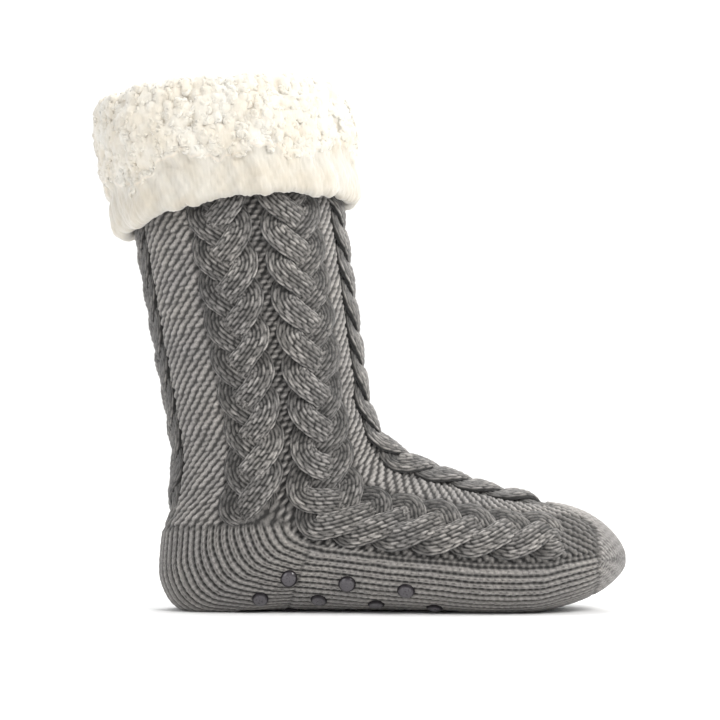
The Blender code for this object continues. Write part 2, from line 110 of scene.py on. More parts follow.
# Sections of the leg and foot, in shares of the sizes above, as in the frame
LegSection = namedtuple("LegSection", "height depth width tilt")
LEG_SECTIONS = (
    LegSection(1.00, 0.990, 0.990, 0.35),
    LegSection(0.82, 1.000, 1.000, 0.80),
    LegSection(0.62, 1.000, 1.000, 0.92),
    LegSection(0.38, 0.992, 0.985, 0.90),
    LegSection(0.17, 0.976, 0.955, 0.92),
    LegSection(0.00, 0.965, 0.915, 1.15),
)
FootSection = namedtuple("FootSection", "front_x front_z back_x back_z width widest square")
FOOT_SECTIONS = [FootSection(*row) for row in (
    (0.449, 1.180, 0.041, 1.000, 0.925, 0.48, 2.10),
    (0.464, 1.085, 0.029, 0.730, 0.900, 0.49, 2.15),
    (0.480, 1.032, 0.008, 0.500, 0.880, 0.50, 2.20),
    (0.497, 0.990, 0.003, 0.265, 0.860, 0.52, 2.30),
    (0.515, 0.955, 0.030, 0.050, 0.850, 0.54, 2.45),
    (0.534, 0.925, 0.088, -0.036, 0.850, 0.57, 2.50),
    (0.556, 0.893, 0.165, -0.036, 0.862, 0.60, 2.55),
    (0.584, 0.857, 0.250, -0.014, 0.885, 0.62, 2.25),
    (0.620, 0.815, 0.342, -0.008, 0.915, 0.63, 2.20),
    (0.660, 0.772, 0.437, -0.008, 0.950, 0.64, 2.20),
    (0.702, 0.730, 0.533, -0.012, 0.985, 0.64, 2.20),
    (0.744, 0.696, 0.625, -0.024, 1.000, 0.64, 2.30),
    (0.786, 0.673, 0.710, -0.032, 0.996, 0.63, 2.40),
    (0.827, 0.657, 0.786, -0.020, 0.975, 0.63, 2.40),
    (0.868, 0.638, 0.850, 0.020, 0.925, 0.60, 2.35),
    (0.907, 0.602, 0.902, 0.068, 0.835, 0.57, 2.25),
    (0.943, 0.543, 0.944, 0.132, 0.700, 0.54, 2.15),
    (0.973, 0.464, 0.975, 0.208, 0.515, 0.52, 2.05),
    (0.992, 0.381, 0.993, 0.276, 0.285, 0.50, 2.00),
    (1.000, 0.310, 1.000, 0.342, 0.000, 0.50, 2.00),
)]
HEEL_SECTION = 6
FOOT_SECTION = 14
LEG_WIDEST = 0.47
LEG_SQUARE = 2.10
FRONT_SQUARE = 2.10
ARC_STEPS = 60
HEEL_FLAT_END, ARCH_START = 0.165, 0.190
ARCH_END, BALL_FLAT_START = 0.625, 0.655

Plait = namedtuple("Plait", "name middle half_width ends_at measured sense")
PLAITS = (
    Plait("front", 0.000, 0.0600, 0.835, "length", 1.0),
    Plait("side_front", 0.158, 0.0585, 0.865, "length", 1.0),
    Plait("side_rear", 0.285, 0.0520, 1.000, "pocket", -1.0),
    Plait("far_side_front", 0.842, 0.0585, 0.865, "length", -1.0),
    Plait("far_side_rear", 0.715, 0.0520, 1.000, "pocket", 1.0),
    Plait("back", 0.500, 0.0600, 1.080, "pocket", 1.0),
)
PLAIT_ZONES = ((-0.01, 0.060), (0.0995, 0.2165), (0.233, 0.337), (0.440, 0.51))
CHANNEL = (0.2165, 0.2330)
INSTEP_LINE = 0.13
POCKET_RISE, POCKET_CORNER, SCALLOP = 0.0035, 0.082, 0.0008
TOE_TOP, TOE_SIDE = 0.830, 0.925

# Soft creases, pressed in along a line seen from the side: from and to, in metres from the back of the
# heel and from the floor, how deep and how wide, and on which sides
Crease = namedtuple("Crease", "start end depth width sides")
CREASES = (
    Crease((0.085, 0.118), (0.112, 0.101), 0.0016, 0.0050, (-1, 1)),
    Crease((0.040, 0.112), (0.078, 0.127), 0.0012, 0.0060, (-1,)),
    Crease((0.020, 0.083), (0.055, 0.094), 0.0011, 0.0060, (-1, 1)),
    Crease((0.064, 0.046), (0.086, 0.034), 0.0012, 0.0042, (-1, 1)),
    Crease((0.196, 0.052), (0.213, 0.035), 0.0013, 0.0038, (-1, 1)),
    Crease((0.020, 0.150), (0.060, 0.158), 0.0009, 0.0070, (1,)),
)

TABLE_WAYS, TABLE_TURNS = 1200, 720


def smooth(low, high, value):
    """A soft step from 0 at low to 1 at high."""
    share = np.clip((value - low) / (high - low), 0.0, 1.0)
    return share * share * (3.0 - 2.0 * share)


def mixed(first, second, share):
    return first * (1.0 - share) + second * share


def bell(distance, width):
    return np.exp(-((distance / width) ** 2))


def summed(steps):
    """Running sum from 0."""
    return np.concatenate([[0.0], np.cumsum(steps)])


def unit(vectors):
    return vectors / np.maximum(np.linalg.norm(vectors, axis=-1), 1e-12)[..., None]


def curve(rows, slopes, i, t, step):
    """Cubic from row i to the next with the given slopes, at the share t of the step between them."""
    ends = (1.0 + 2.0 * t) * (1.0 - t) ** 2 * rows[i] + t * t * (3.0 - 2.0 * t) * rows[i + 1]
    bend = t * (1.0 - t) ** 2 * slopes[i] + t * t * (t - 1.0) * slopes[i + 1]
    return ends + step * bend


def leg_rows():
    """Front and back ends, width, widest place and fullness of each of the leg's sections."""
    collar = SOCK_HEIGHT - CUFF_TOP
    rows = []
    for section in LEG_SECTIONS:
        height = ANKLE_HEIGHT + section.height * (collar - ANKLE_HEIGHT)
        middle = ANKLE_PLACE * FOOT_LENGTH - (height - ANKLE_HEIGHT) * math.tan(LEG_LEAN)
        tilt = section.tilt * LEG_LEAN
        half = 0.5 * section.depth * LEG_DEPTH
        across = half * math.cos(tilt)
        up = half * math.sin(tilt)
        ends = (middle + across, height + up, middle - across, height - up)
        rows.append((*ends, section.width * LEG_WIDTH, LEG_WIDEST, LEG_SQUARE))
    return rows


def foot_rows():
    """The same values for each of the foot's sections."""
    rows = []
    for section in FOOT_SECTIONS:
        ball = smooth(0.15, 0.50, section.back_x)
        width = section.width * (ball * BALL_WIDTH + (1.0 - ball) * (HEEL_WIDTH + LEG_WIDTH) / 2.0)
        front = (section.front_x * FOOT_LENGTH, section.front_z * INSTEP_HEIGHT)
        back = (section.back_x * FOOT_LENGTH, section.back_z * HEEL_HEIGHT)
        rows.append((*front, *back, width, section.widest, section.square))
    return rows


class Last:
    """The knit's surface without its plaits, as a function of turn and way."""

    def __init__(self):
        self.rows = np.array(leg_rows() + foot_rows())
        moved = np.diff(self.rows, axis=0)
        steps = 0.5 * (np.hypot(moved[:, 0], moved[:, 1]) + np.hypot(moved[:, 2], moved[:, 3]))
        self.knots = summed(steps)
        self.length = self.knots[-1]
        self.knots /= self.length
        step = np.diff(self.knots)[:, None]
        secant = np.diff(self.rows, axis=0) / step
        before, after = secant[:-1], secant[1:]
        same = before * after > 0.0
        self.slopes = np.zeros_like(self.rows)
        self.slopes[1:-1] = np.where(same, 2.0 * before * after / np.where(same, before + after, 1.0), 0.0)
        self.slopes[0], self.slopes[-1] = secant[0], secant[-1]

    def section(self, way):
        way = np.clip(way, 0.0, 1.0)
        i = np.clip(np.searchsorted(self.knots, way) - 1, 0, len(self.knots) - 2)
        step = self.knots[i + 1] - self.knots[i]
        t = ((way - self.knots[i]) / step)[:, None]
        return curve(self.rows, self.slopes, i, t, step[:, None])

    def place(self, turns, ways):
        """Points for every way and turn, as an array of ways by turns by 3."""
        turns = np.asarray(turns, float) % 1.0
        side = np.where(turns > 0.5, 1.0, -1.0)
        half_turn = np.where(turns > 0.5, 1.0 - turns, turns)
        front = half_turn <= 0.25
        rows = self.section(np.asarray(ways, float))
        points = np.zeros((len(rows), len(turns), 3))
        angles = np.linspace(0.0, math.pi / 2.0, ARC_STEPS)
        for k, (fx, fz, bx, bz, width, widest, square) in enumerate(rows):
            chord = math.hypot(fx - bx, fz - bz)
            full = 2.0 / FRONT_SQUARE
            in_front = (widest * (1.0 - np.cos(angles) ** full), np.sin(angles) ** full)
            full = 2.0 / square
            behind = (widest + (1.0 - widest) * np.sin(angles) ** full, np.cos(angles) ** full)
            share = np.zeros(len(turns))
            out = np.zeros(len(turns))
            for here, start, (shares, outs) in ((front, 0.0, in_front), (~front, 0.25, behind)):
                run = summed(np.hypot(np.diff(shares) * chord, np.diff(outs) * width / 2.0))
                at = (half_turn[here] - start) / 0.25 * run[-1]
                share[here] = np.interp(at, run, shares)
                out[here] = np.interp(at, run, outs)
            points[k, :, 0] = fx + (bx - fx) * share
            points[k, :, 1] = side * out * width / 2.0
            points[k, :, 2] = fz + (bz - fz) * share
        share = points[:, :, 0] / FOOT_LENGTH
        lift = smooth(HEEL_FLAT_END, ARCH_START, share) * (1.0 - smooth(ARCH_END, BALL_FLAT_START, share))
        points[:, :, 2] = np.maximum(points[:, :, 2], lift * (DOT_HEIGHT + GAP))
        return points


def crease_depth(points):
    """How far the creases press the knit in at each point."""
    depth = np.zeros(points.shape[:-1])
    flat = points[..., (0, 2)]
    for crease in CREASES:
        start, end = np.array(crease.start), np.array(crease.end)
        run = end - start
        share = np.clip((flat - start) @ run / (run @ run), 0.0, 1.0)
        off = np.linalg.norm(flat - start - share[..., None] * run, axis=-1)
        taper = np.sin(np.pi * np.clip(share * 0.9 + 0.05, 0.0, 1.0)) ** 0.5
        here = np.zeros(points.shape[:-1])
        for side in crease.sides:
            here = np.maximum(here, smooth(0.004, 0.014, side * points[..., 1]))
        trough = bell(off, crease.width)
        lips = 0.35 * bell(off - 2.0 * crease.width, crease.width)
        depth += crease.depth * here * taper * (trough - lips)
    return depth


class Surface:
    """The creased knit, read from a fine table: point, normal, run from the collar and from the toe."""

    def __init__(self, last, shift):
        self.last = last
        turns = np.linspace(0.0, 1.0, TABLE_TURNS + 1)
        self.ways = np.linspace(0.0, 1.0, TABLE_WAYS + 1)
        points = last.place(turns, self.ways)
        points[:, -1] = points[:, 0]
        along = np.gradient(points, axis=0)
        along[-1] = along[-2]
        wide = np.concatenate([points[:, -3:-1], points, points[:, 1:3]], axis=1)
        round_ = wide[:, 4:] - wide[:, :-4]
        round_[-1] = round_[-2]
        normals = unit(np.cross(round_, along))
        points = points - normals * crease_depth(points)[:, :, None]
        steps = np.linalg.norm(np.diff(points, axis=0), axis=2)
        down = np.concatenate([np.zeros((1, len(turns))), np.cumsum(steps, axis=0)])
        up = down[-1] - down
        self.girths = np.linalg.norm(np.diff(points, axis=1), axis=2).sum(axis=1)
        points[:, :, 0] += shift
        self.shift = shift
        self.table = np.concatenate([points, normals, down[:, :, None], up[:, :, None]], axis=2)

    def read(self, turns, ways):
        """Points, normals and the two runs at each turn and way."""
        t = (np.asarray(turns) % 1.0) * TABLE_TURNS
        w = np.clip(ways, 0.0, 1.0) * TABLE_WAYS
        j = np.minimum(t.astype(int), TABLE_TURNS - 1)
        i = np.minimum(w.astype(int), TABLE_WAYS - 1)
        t, w = (t - j)[..., None], (w - i)[..., None]
        above = mixed(self.table[i, j], self.table[i, j + 1], t)
        below = mixed(self.table[i + 1, j], self.table[i + 1, j + 1], t)
        found = mixed(above, below, w)
        return found[..., :3], found[..., 3:6], found[..., 6], found[..., 7]

    def girth(self, ways):
        return np.interp(ways, self.ways, self.girths)

    def line(self, turn):
        """What read gives at each of the table's ways, down the line at a turn."""
        return self.read(np.full(len(self.ways), turn), self.ways)

    def run(self, turn):
        return self.line(turn)[2]

    def way_at(self, turn, axis, value, falling=False):
        """First way at which the line at a turn reaches a value, measured from the heel and the floor."""
        places = self.line(turn)[0][:, axis]
        if axis == 0:
            places = places - self.shift
        reached = places <= value if falling else places >= value
        return self.ways[int(np.argmax(reached))]


def hem_ways(turns):
    """Way of the cuff's lower edge, which rises a little at the sides."""
    down = CUFF_HEIGHT - CUFF_TOP - CUFF_SIDE_RISE * np.sin(math.tau * np.asarray(turns)) ** 2
    return down / sock.last.length


def chance_at(a, b, seed):
    """A fixed random share for each pair of whole numbers."""
    value = np.sin(a * 127.1 + b * 311.7 + seed * 74.7) * 43758.5453
    return value - np.floor(value)


def wander(a, b, seed):
    """Slow unevenness, about -1 to 1, over two lengths in metres."""
    s = seed * 1.7
    slow = np.sin(a * 190.0 + 2.1 * np.sin(b * 150.0 + s)) * np.cos(b * 230.0 + s)
    quick = np.sin(a * 520.0 - b * 410.0 + s * 3.1)
    return 0.7 * slow + 0.3 * quick


# Stitches


def plain_stitches(wale, course, slant):
    """Height, 0 to 1, of plain knitting: every stitch is two slanted legs that meet below."""
    across = np.abs(2.0 * (wale % 1.0) - 1.0)
    height = np.zeros(np.broadcast(wale, course).shape)
    for step in (-1.0, 0.0, 1.0):
        off = course % 1.0 - 0.5 - step
        side = across - 0.5 + slant * off
        height = np.maximum(height, 1.0 - (side / 0.47) ** 2 - (off / 0.86) ** 2)
    return np.sqrt(np.clip(height, 0.0, 1.0))


def strand_stitches(across, course, seed):
    """Height of a strand's stitches: slender legs side by side, each with its own start and lean."""
    leg = np.floor(across)
    at = course + 0.5 * (leg % 2.0) + 0.35 * chance_at(leg, 0.0, seed)
    off = at % 1.0 - 0.5
    lean = np.where(leg % 2.0 > 0.5, 0.30, -0.30)
    side = across % 1.0 - 0.5 + lean * off
    vary = chance_at(leg, np.floor(at), seed)
    height = 1.0 - (side / 0.52) ** 2 - 0.75 * (off / 0.50) ** 4
    return np.sqrt(np.clip(height, 0.0, 1.0)) * (0.70 + 0.30 * vary)


def purl_stitches(wale, course):
    """Height of purl knitting: short bumps, staggered from course to course and a little aslant."""
    height = np.zeros(np.broadcast(wale, course).shape)
    for step in (-1.0, 0.0, 1.0):
        row = np.floor(course) + step
        shifted = wale + 0.5 * (row % 2.0)
        along = shifted % 1.0 - 0.5
        vary = chance_at(np.floor(shifted), row, 3)
        off = course - row - 0.5 - PURL_TILT * along + 0.30 * (vary - 0.5)
        bump = 1.0 - (off / (0.36 + 0.12 * vary)) ** 2 - (along / 0.50) ** 4
        height = np.maximum(height, bump * (0.65 + 0.45 * vary))
    return np.sqrt(np.clip(height, 0.0, 1.1))


def ribbed(wale, course, slant):
    """Plain knitting whose wales stand out as ridges with deep gaps between them, which the shade made
    from it paints dark.
    """
    across = np.abs(2.0 * (wale % 1.0) - 1.0)
    ridge = np.sqrt(np.clip(1.0 - (across / 0.94) ** 1.6, 0.0, 1.0))
    beads = 0.5 + 0.5 * np.cos(math.tau * (course + 0.5 * (np.floor(wale + 0.5) % 2.0)))
    gap = smooth(0.40, 0.86, across)
    ridge = np.maximum(ridge, 0.58 * (1.0 - beads) * gap)
    return ridge * (0.40 + 0.60 * plain_stitches(wale, course, slant)) * (1.0 - 0.75 * gap * beads)


def zone_share(half, zones, edge=0.003):
    """1 inside the zones, 0 outside, with soft edges."""
    share = np.zeros(half.shape)
    for start, end in zones:
        inside = smooth(start - edge, start + edge, half) * smooth(end + edge, end - edge, half)
        share = np.maximum(share, inside)
    return share


def ground(turns, ways):
    """Points, stitch coordinates and painted shade of the knit between and below its plaits: dark in the
    gaps, under the plaits and along pressed lines.
    """
    points, normals, down, up = sock.read(turns, ways)
    signed = (turns + 0.5) % 1.0 - 0.5
    half = np.abs(signed)
    x, z = points[..., 0] - sock.shift, points[..., 2]
    girth = sock.girth(ways)
    round_ = turns * girth
    heel_way = sock.last.knots[HEEL_SECTION]
    foot_way = sock.last.knots[FOOT_SECTION]

    uneven = wander(round_, down, 1.0)
    leg_girth = sock.girth(heel_way)
    instep = np.interp(ways, sock.ways, sock.run(INSTEP_LINE))
    rear = smooth(CHANNEL[1], PLAIT_ZONES[2][1], half)
    course = mixed(instep, down, rear) / LEG_COURSE + 0.16 * wander(round_, down, 2.0)
    purl = purl_stitches(turns * round(leg_girth / LEG_WALE) + 0.10 * uneven, course)

    sole_wale = turns * round(sock.girth(foot_way) / SOLE_WALE) + 0.08 * uneven
    sole = ribbed(sole_wale, -up / SOLE_COURSE + 0.12 * wander(round_, up, 4.0), 0.36)
    toe_round = np.where(half < 0.25, signed, np.sign(signed) * (0.5 - half)) * girth
    toe_wale = toe_round / TOE_WALE + 0.06 * uneven
    toe = plain_stitches(toe_wale, -up / TOE_COURSE + 0.10 * wander(round_, up, 8.0), 0.40)
    toe = toe + (0.80 - toe) * smooth(0.009, 0.002, up)

    border = 0.5 * (CHANNEL[0] + CHANNEL[1])
    on_heel = smooth(heel_way, heel_way + 0.01, ways)
    in_foot = smooth(foot_way - 0.02, foot_way, ways)
    pocket_wale = turns * round(leg_girth / POCKET_WALE) + 0.08 * uneven
    pocket_top = POCKET_HEIGHT + POCKET_RISE * (0.5 - half) / 0.27 - 0.0015
    pocket_top = pocket_top + SCALLOP * np.cos(math.tau * pocket_wale)
    low = np.maximum(smooth(pocket_top + 0.0012, pocket_top - 0.0012, z), in_foot) * on_heel
    plain_share = smooth(border - 0.002, border + 0.002, half) * low
    corner = x - (POCKET_CORNER - 0.35 * (POCKET_HEIGHT - z))
    sole_share = smooth(-0.0015, 0.0015, corner)
    toe_start = FOOT_LENGTH * (TOE_TOP + (TOE_SIDE - TOE_TOP) * smooth(0.01, 0.15, half))
    toe_start = toe_start + SCALLOP * np.cos(math.tau * sole_wale)
    toe_share = smooth(-0.0012, 0.0012, x - toe_start)
    patterned = (1.0 - plain_share) * (1.0 - toe_share)
    pocket = ribbed(pocket_wale, down / POCKET_COURSE, 0.30)
    plait_share = zone_share(half, PLAIT_ZONES) * patterned
    channel_share = zone_share(half, (CHANNEL,), 0.004) * patterned

    height = purl * 0.0011 - 0.0005 - 0.0008 * plait_share
    # Painted shade: darker in the gaps between the purl stitches and on the ground under the plaits
    shade = (0.16 + 0.71 * purl) * (1.0 - 0.40 * plait_share)
    holes = smooth(0.30, 0.62, np.abs(course % 1.0 - 0.5) + 0.22)
    height = height - (0.0002 + 0.0007 * holes) * channel_share
    # Painted shade in the channel between the plaits, darkest in its holes
    shade = shade * (1.0 - (0.10 + 0.50 * holes) * channel_share)
    # Heel pocket, sole and toe: painted shade in the gaps between their wales and stitches
    plain = mixed(pocket, sole, sole_share)
    height = mixed(height, (plain - 0.7) * mixed(0.0017, 0.0015, sole_share), plain_share)
    shade = mixed(shade, plain**1.7, plain_share)
    height = mixed(height, toe * 0.0013 - 0.0009, toe_share)
    shade = mixed(shade, toe**1.8, toe_share)

    # Lines where one knitting meets another: pocket top, side border, heel corner and toe, pressed in and
    # darkened with painted shade
    beads = 0.65 + 0.35 * np.cos(math.tau * up / SOLE_COURSE)
    behind = smooth(border, border + 0.004, half) * (ways < foot_way) * on_heel * smooth(0.090, 0.080, x)
    line = 0.35 * bell(z - pocket_top, 0.0010) * behind
    side = bell((half - border) * girth, 0.0015) * in_foot * (1.0 - toe_share)
    line = np.maximum(line, side * beads)
    line = np.maximum(line, 0.35 * bell(corner, 0.0011) * plain_share * (1.0 - toe_share))
    on_top = smooth(border + 0.02, border, half)
    decreases = 0.40 * bell((half - 0.25) * girth, 0.0011) * smooth(0.004, 0.010, up)
    line = np.maximum(line, decreases * toe_share)
    line = np.maximum(line, (0.35 + 0.40 * on_top) * bell(x - toe_start, 0.0010))
    height = height - 0.0012 * line
    shade = shade * (1.0 - 0.75 * line)

    points = points + normals * height[..., None]
    points[..., 2] = np.maximum(points[..., 2], 0.0001)
    stitches = np.stack([round_, down], axis=-1)
    return points, stitches, shade


# Making meshes


def added(name, make, **values):
    """What one of Blender's own makers adds to the scene, under a name."""
    bpy.ops.object.select_all(action="DESELECT")
    make(**values)
    piece = bpy.context.object
    piece.name = name
    piece.data.name = name
    return piece


def points_of(mesh):
    points = np.empty(len(mesh.vertices) * 3, np.float32)
    mesh.vertices.foreach_get("co", points)
    return points.reshape(-1, 3)


def set_points(mesh, points):
    mesh.vertices.foreach_set("co", points.astype(np.float32).ravel())


def dress(mesh, shade, finish):
    layer = mesh.attributes.new("shade", "FLOAT", "POINT")
    layer.data.foreach_set("value", shade.astype(np.float32).ravel())
    mesh.shade_smooth()
    mesh.materials.append(finish)


def laid_grid(name, points, stitches, shade, finish):
    """A grid primitive laid over points, rows by columns, with its meeting edges merged."""
    rows, columns = points.shape[:2]
    divisions = {"x_subdivisions": columns - 1, "y_subdivisions": rows - 1}
    piece = added(name, bpy.ops.mesh.primitive_grid_add, size=2.0, **divisions)
    mesh = piece.data
    start = points_of(mesh)
    column = np.rint((start[:, 0] + 1.0) / 2.0 * (columns - 1)).astype(int)
    row = np.rint((start[:, 1] + 1.0) / 2.0 * (rows - 1)).astype(int)
    set_points(mesh, points[row, column])
    dress(mesh, shade[row, column], finish)
    corner = np.empty(len(mesh.loops), np.int32)
    mesh.loops.foreach_get("vertex_index", corner)
    flat = stitches[row[corner], column[corner]].astype(np.float32)
    mesh.uv_layers.active.data.foreach_set("uv", flat.ravel())
    mesh.update()
    bpy.ops.object.mode_set(mode="EDIT")
    bpy.ops.mesh.select_all(action="SELECT")
    bpy.ops.mesh.remove_doubles(threshold=2e-6)
    bpy.ops.object.mode_set(mode="OBJECT")
    return piece


def copies(name, base, faces, shade, finish):
    """One mesh of many copies of a small shape. base is copies by points by 3."""
    count, size = base.shape[:2]
    faces = np.asarray(faces)
    every = (faces[None] + (np.arange(count) * size)[:, None, None]).reshape(-1, faces.shape[1])
    mesh = bpy.data.meshes.new(name)
    mesh.vertices.add(count * size)
    set_points(mesh, base)
    mesh.loops.add(every.size)
    mesh.loops.foreach_set("vertex_index", every.astype(np.int32).ravel())
    mesh.polygons.add(len(every))
    mesh.polygons.foreach_set("loop_start", np.arange(0, every.size, faces.shape[1], dtype=np.int32))
    mesh.update(calc_edges=True)
    mesh.validate()
    dress(mesh, shade, finish)
    piece = bpy.data.objects.new(name, mesh)
    bpy.context.scene.collection.objects.link(piece)
    return piece


# Knit pieces


def rows_between(start, end, spacing, sole_spacing):
    """Ways from start to end whose rows lie no further apart than the spacings at side and sole."""
    inside = (sock.ways >= start) & (sock.ways <= end)
    ways = np.concatenate([[start], sock.ways[inside], [end]])
    side = np.interp(ways, sock.ways, sock.run(0.20))
    sole = np.interp(ways, sock.ways, sock.run(0.5))
    steps = np.maximum(np.diff(side) / spacing, np.diff(sole) / sole_spacing)
    cost = summed(steps)
    count = int(math.ceil(cost[-1]))
    return np.interp(np.linspace(0.0, cost[-1], count + 1), cost, ways)


def make_knit(finish):
    """The ground of the knit, in a leg, a heel and a foot that meet edge to edge."""
    heel = float(sock.last.knots[HEEL_SECTION])
    foot = float(sock.last.knots[FOOT_SECTION])
    top = float(hem_ways([0.25])[0]) - 0.020 / sock.last.length
    spans = (
        ("knit_leg", top, heel, 0.00078, 0.00078, 392),
        ("knit_heel", heel, foot, 0.00093, 0.00093, 400),
        ("knit_foot", foot, 0.9995, 0.00080, 0.00085, 320),
    )
    pieces = []
    for name, start, end, spacing, sole_spacing, columns in spans:
        ways = rows_between(start, end, spacing, sole_spacing)
        if end > 0.99:
            ways = np.append(ways, 1.0)
        turns = np.linspace(0.0, 1.0, columns + 1)
        points, stitches, shade = ground(*np.meshgrid(turns, ways))
        points[:, -1] = points[:, 0]
        if end > 0.99:
            points[-1] = points[-2].mean(axis=0)
        pieces.append(laid_grid(name, points, stitches, shade, finish))
    return pieces


def strand_path(plait, number):
    """Turns, ways, heights and size of one strand of a plait, ring by ring."""
    run = sock.run(plait.middle)
    start_way = float(hem_ways([plait.middle])[0]) - 0.010 / sock.last.length
    if plait.measured == "length":
        end_way = sock.way_at(plait.middle, 0, plait.ends_at * FOOT_LENGTH)
    else:
        end_way = sock.way_at(plait.middle, 2, plait.ends_at * POCKET_HEIGHT, falling=True)
    start, end = np.interp([start_way, end_way], sock.ways, run)
    fine = np.linspace(start, end, 1200)
    ways = np.interp(fine, run, sock.ways)
    angle = math.tau * (fine / (STRANDS * BRAID_PITCH) + number / STRANDS)
    sway = plait.half_width * sock.girth(ways) - STRAND_HALF_WIDTH * 0.90
    across = sway * np.sin(angle) * plait.sense
    turns = plait.middle + across / sock.girth(ways)
    lift = -STRAND_LIFT * np.sin(2.0 * angle) - STRAND_LEAD * np.cos(angle)
    lift -= STRAND_OUTER_DROP * smooth(0.0, 1.0, -np.sin(angle))
    sink = smooth(0.0, 0.010, fine - start) * smooth(0.0, PLAIT_END, end - fine)
    buried = STRAND_SEAT + 1.4 * STRAND_HALF_HEIGHT + STRAND_LIFT
    height = STRAND_SEAT + lift * sink - (1.0 - sink) * buried
    size = 0.70 + 0.30 * smooth(0.0, PLAIT_END, end - fine)
    points, normals, _, _ = sock.read(turns, ways)
    middle = points + normals * height[:, None]
    length = summed(np.linalg.norm(np.diff(middle, axis=0), axis=1))
    count = int(length[-1] / STRAND_STEP)
    at = np.linspace(0.0, length[-1], count)
    # How high the strand rides, used below to paint shade where it dips under another strand
    raised = smooth(-STRAND_LIFT, 0.7 * STRAND_LIFT, lift)
    along = np.column_stack([middle, normals, size, raised])
    along = np.stack([np.interp(at, length, column) for column in along.T], axis=1)
    return along[:, :3], along[:, 3:6], at, along[:, 6], along[:, 7]


def make_strand(plait, number, finish):
    """One strand: a flattened tube with the slanted legs of its stitches raised along it."""
    middle, normals, at, size, raised = strand_path(plait, number)
    ahead = unit(np.gradient(middle, axis=0))
    normals = unit(normals - ahead * np.sum(ahead * normals, axis=1)[:, None])
    side = np.cross(normals, ahead)
    top = np.linspace(-0.08, 1.08, 29) * math.pi
    under = np.linspace(1.08, 1.92, 4)[1:] * math.pi
    angles = np.concatenate([top, under])
    wide = np.sign(np.cos(angles)) * np.abs(np.cos(angles)) ** 0.85
    high = np.sign(np.sin(angles)) * np.abs(np.sin(angles)) ** 0.80
    shares = np.clip(0.45 * angles / math.pi + 0.55 * (0.5 - 0.5 * wide), 0.0, 1.0)
    grid_share, grid_at = np.meshgrid(shares, at)
    seed = number + 10.0 * plait.middle
    grid_at = grid_at + 0.0004 * wander(grid_at, grid_share * 0.01, seed)
    legs = strand_stitches(grid_share * STRAND_LEGS, grid_at / STRAND_COURSE, seed)
    upper = smooth(-0.40, 0.05, np.sin(angles))[None, :]
    relief = (legs - 0.65) * STRAND_RELIEF * upper
    wobble = 1.0 + 0.05 * wander(at, at * 0.3, seed + 5.0)
    scale = (size * wobble)[:, None]
    aside, up = scale * (STRAND_HALF_WIDTH * wide)[None, :], scale * (STRAND_HALF_HEIGHT * high)[None, :]
    points = middle[:, None] + side[:, None] * aside[..., None] + normals[:, None] * up[..., None]
    lean = side[:, None] * wide[None, :, None] * 0.5 + normals[:, None] * high[None, :, None]
    points = points + lean * relief[..., None]
    points[0] = middle[0]
    points[-1] = middle[-1]
    points[..., 2] = np.maximum(points[..., 2], 0.0002)
    sides = np.abs(2.0 * shares - 1.0)[None, :]
    # Painted shade: dark between the legs, at the strand's edges and on its underside, and darker where it
    # dips under another strand
    shade = legs**2.2 * (1.0 - 0.55 * smooth(0.84, 1.0, sides)) * (0.25 + 0.75 * upper)
    shade = shade * (0.50 + 0.50 * raised)[:, None]
    stitches = np.stack([grid_share * 0.012, grid_at], axis=-1)
    return laid_grid(f"strand_{plait.name}_{number}", points, stitches, shade, finish)


def joined(pieces, name):
    bpy.ops.object.select_all(action="DESELECT")
    for piece in pieces:
        piece.select_set(True)
    bpy.context.view_layer.objects.active = pieces[0]
    bpy.ops.object.join()
    piece = bpy.context.object
    piece.name = name
    piece.data.name = name
    return piece


def make_plaits(finish):
    """Each plait's three strands, joined."""
    plaits = []
    for plait in PLAITS:
        strands = [make_strand(plait, number, finish) for number in range(STRANDS)]
        plaits.append(joined(strands, f"plait_{plait.name}"))
    return plaits


# Fleece

# Points of the cuff's section, in shares: outside from under its hem upwards (how far down, how far out),
# over the top from its crown (how far out), inside downwards, and how curly the pile is from the crown on
CUFF_OUTSIDE = (
    (0.70, 0.03), (0.90, 0.22), (0.985, 0.36), (1.000, 0.56), (0.965, 0.74), (0.880, 0.84),
    (0.760, 0.84), (0.660, 0.80), (0.560, 0.88), (0.400, 0.98), (0.220, 0.99), (0.060, 0.92),
)
CUFF_OVER = (0.62, 0.0, -0.62)
CUFF_INSIDE = ((0.08, 0.80), (0.45, 1.00), (0.80, 1.00), (1.05, 0.55))
CUFF_CURLY = (1.0, 1.0, 1.0, 0.8, 0.8, 0.8, 0.5)
HEM_POINT, CROWN_POINT = 3, 12
CUFF_ROUND = 0.38
CUFF_COLUMNS = 420
CUFF_ROW = 0.00108
LUMP_SIZE, LUMP_HEIGHT = 0.0150, 0.0030
NUB_SIZE, NUB_HEIGHT = 0.0050, 0.0019
CRIMP_SIZE, CRIMP_HEIGHT = 0.0026, 0.0008
TUFT_COUNT = 3000
TUFT_THICKNESS = 0.00135
TUFT_LENGTHS = (0.0032, 0.0058)
TUFT_SINK = 0.0016
TUFT_RINGS, TUFT_SIDES = 5, 4
LINING_ROUND = 0.29
LINING_NUB = 0.0058


